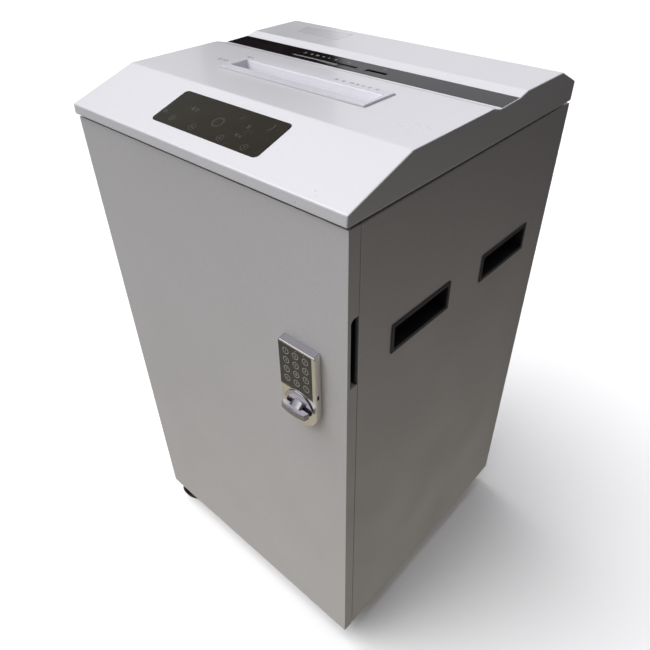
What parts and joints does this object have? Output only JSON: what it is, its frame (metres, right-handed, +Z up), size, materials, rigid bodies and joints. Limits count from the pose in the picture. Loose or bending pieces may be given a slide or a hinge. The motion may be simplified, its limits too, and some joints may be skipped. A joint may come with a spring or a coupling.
{
  "type": "paper shredder",
  "caption": "Tall office paper shredder on casters: steel cabinet with a keypad-locked door, waste bin, and a sloped head with a touch panel, paper feed and media slots.",
  "frame": {"origin": "on the floor, under the middle of the object's box", "axes": "+Z up, the door faces -Y, +X to the right as seen from the front"},
  "size_m": [0.48, 0.4924, 0.879],
  "materials": {
    "head_silver": "satin",
    "cabinet_paint": "fine metallic satin",
    "black_plastic": "satin",
    "touch_glass": "gloss",
    "lock_metal": "satin",
    "steel": "brushed",
    "gear_plastic": "matte",
    "bin_plastic": "matte",
    "circuit_board": "matte",
    "wheel_rubber": "matte"
  },
  "bodies": {
    "root": {"head_cover": "head_silver", "feed_bezel": "head_silver", "left_side_panel": "cabinet_paint", "right_side_panel": "cabinet_paint", "rear_panel": "cabinet_paint", "cabinet_floor": "cabinet_paint", "mechanism_deck": "cabinet_paint", "neck_frame": "black_plastic", "head_base": "black_plastic", "media_strip": "black_plastic", "side_grip_left_front": "black_plastic", "side_grip_left_rear": "black_plastic", "side_grip_right_front": "black_plastic", "side_grip_right_rear": "black_plastic", "power_inlet": "black_plastic", "switch_frame": "black_plastic", "touch_panel": "touch_glass", "lock_strike": "steel", "door_hinge_top": "steel", "door_hinge_bottom": "steel", "paper_chute": "steel", "media_chute": "steel", "cutter_plate_left": "steel", "cutter_plate_right": "steel", "tie_bar_front_upper": "steel", "tie_bar_front_lower": "steel", "tie_bar_rear_upper": "steel", "motor_housing": "steel", "caster_front_left_plate": "steel", "caster_front_right_plate": "steel", "caster_rear_left_plate": "steel", "caster_rear_right_plate": "steel", "waste_bin": "bin_plastic", "control_board": "circuit_board"},
    "door": {"door_panel": "cabinet_paint", "door_liner": "cabinet_paint", "door_grip_pocket": "black_plastic", "lock_housing": "lock_metal", "lock_keypad": "touch_glass"},
    "lock_turn": {"lock_knob": "lock_metal", "lock_spindle": "steel", "lock_cam": "steel"},
    "rear_cutter": {"cutter_shaft_rear": "steel", "sync_gear_rear": "steel", "drive_gear": "gear_plastic"},
    "front_cutter": {"cutter_shaft_front": "steel", "sync_gear_front": "steel"},
    "motor_rotor": {"motor_shaft": "steel", "motor_pinion": "steel"},
    "rocker": {"power_switch": "black_plastic"},
    "caster_front_left_swivel": {"caster_front_left_hood": "black_plastic"},
    "caster_front_left_wheels": {"caster_front_left_wheels": "wheel_rubber"},
    "caster_front_right_swivel": {"caster_front_right_hood": "black_plastic"},
    "caster_front_right_wheels": {"caster_front_right_wheels": "wheel_rubber"},
    "caster_rear_left_swivel": {"caster_rear_left_hood": "black_plastic"},
    "caster_rear_left_wheels": {"caster_rear_left_wheels": "wheel_rubber"},
    "caster_rear_right_swivel": {"caster_rear_right_hood": "black_plastic"},
    "caster_rear_right_wheels": {"caster_rear_right_wheels": "wheel_rubber"}
  },
  "joints": [
    {"name": "door_swing", "type": "hinge", "parent": "root", "child": "door", "pos_m": [-0.2297, -0.21285, 0.438], "axis": [0, 0, -1], "range_deg": [0, 95]},
    {"name": "lock_knob_turn", "type": "hinge", "parent": "door", "child": "lock_turn", "pos_m": [0.169, -0.22185, 0.557], "axis": [0, -1, 0], "range_deg": [0, 90]},
    {"name": "rear_cutter_spin", "type": "hinge", "parent": "root", "child": "rear_cutter", "pos_m": [0, -0.01485, 0.763], "axis": [1, 0, 0], "continuous": true},
    {"name": "front_cutter_spin", "type": "hinge", "parent": "root", "child": "front_cutter", "pos_m": [0, -0.05485, 0.763], "axis": [1, 0, 0], "continuous": true},
    {"name": "motor_spin", "type": "hinge", "parent": "root", "child": "motor_rotor", "pos_m": [0, 0.04311, 0.74747], "axis": [1, 0, 0], "continuous": true},
    {"name": "power_switch_rock", "type": "hinge", "parent": "root", "child": "rocker", "pos_m": [0.077, 0.23415, 0.728], "axis": [1, 0, 0], "range_deg": [0, 16]},
    {"name": "caster_front_left_turn", "type": "hinge", "parent": "root", "child": "caster_front_left_swivel", "pos_m": [-0.19, -0.18585, 0.038], "axis": [0, 0, 1], "continuous": true},
    {"name": "caster_front_left_roll", "type": "hinge", "parent": "caster_front_left_swivel", "child": "caster_front_left_wheels", "pos_m": [-0.21067, -0.19337, 0.022], "axis": [0.342, -0.9397, 0], "continuous": true},
    {"name": "caster_front_right_turn", "type": "hinge", "parent": "root", "child": "caster_front_right_swivel", "pos_m": [0.19, -0.18585, 0.038], "axis": [0, 0, 1], "continuous": true},
    {"name": "caster_front_right_roll", "type": "hinge", "parent": "caster_front_right_swivel", "child": "caster_front_right_wheels", "pos_m": [0.17676, -0.16828, 0.022], "axis": [-0.7986, -0.6018, 0], "continuous": true},
    {"name": "caster_rear_left_turn", "type": "hinge", "parent": "root", "child": "caster_rear_left_swivel", "pos_m": [-0.19, 0.20415, 0.038], "axis": [0, 0, 1], "continuous": true},
    {"name": "caster_rear_left_roll", "type": "hinge", "parent": "caster_rear_left_swivel", "child": "caster_rear_left_wheels", "pos_m": [-0.17095, 0.19315, 0.022], "axis": [0.5, 0.866, 0], "continuous": true},
    {"name": "caster_rear_right_turn", "type": "hinge", "parent": "root", "child": "caster_rear_right_swivel", "pos_m": [0.19, 0.20415, 0.038], "axis": [0, 0, 1], "continuous": true},
    {"name": "caster_rear_right_roll", "type": "hinge", "parent": "caster_rear_right_swivel", "child": "caster_rear_right_wheels", "pos_m": [0.16833, 0.20033, 0.022], "axis": [0.1736, -0.9848, 0], "continuous": true}
  ],
  "couplings": [
    {"joint": "front_cutter_spin", "follows": "rear_cutter_spin", "ratio": -1},
    {"joint": "motor_spin", "follows": "rear_cutter_spin", "ratio": -3}
  ]
}
